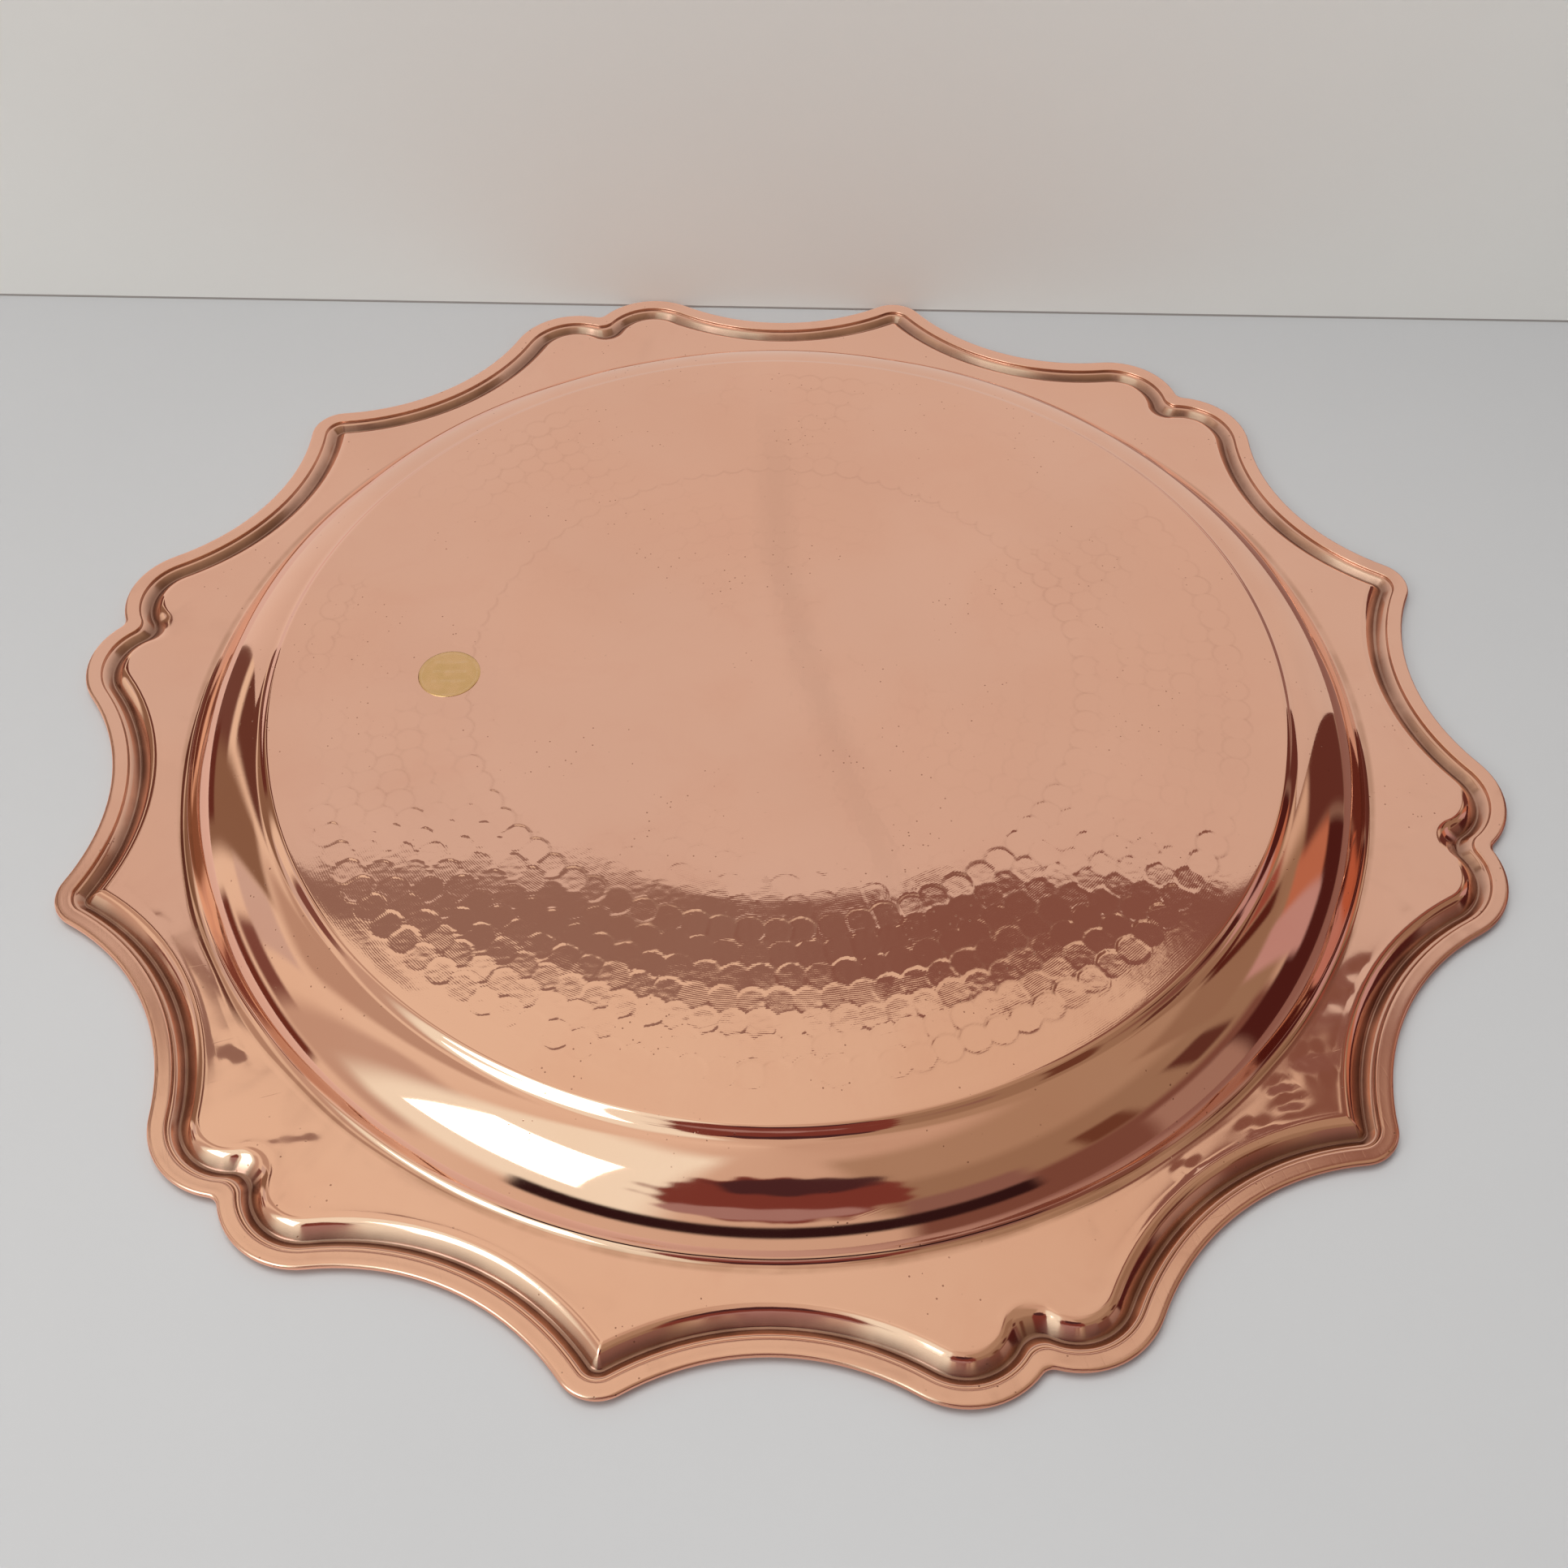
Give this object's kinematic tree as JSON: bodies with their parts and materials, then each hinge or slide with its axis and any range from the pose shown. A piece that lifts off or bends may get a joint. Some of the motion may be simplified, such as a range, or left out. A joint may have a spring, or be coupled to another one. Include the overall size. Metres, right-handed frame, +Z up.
{
  "type": "serving tray",
  "caption": "Round serving tray of hammered copper sheet, lying face down: shallow round well, flat flange, and a pressed, hemmed rim of hollow bays, pointed cusps and double lobes.",
  "frame": {"origin": "centre of the tray, at the height of the surface that its rim rests on when it lies face down", "axes": "+Z up, the way the underside of the base faces in the picture's face-down pose; +X through a cusp of the rim; the well opens towards -Z"},
  "size_m": [0.3752, 0.3792, 0.0245],
  "materials": {
    "copper": "polished, hammered",
    "gold_foil": "satin foil"
  },
  "bodies": {
    "root": {"tray_body": "copper", "foil_label": "gold_foil"}
  },
  "joints": []
}
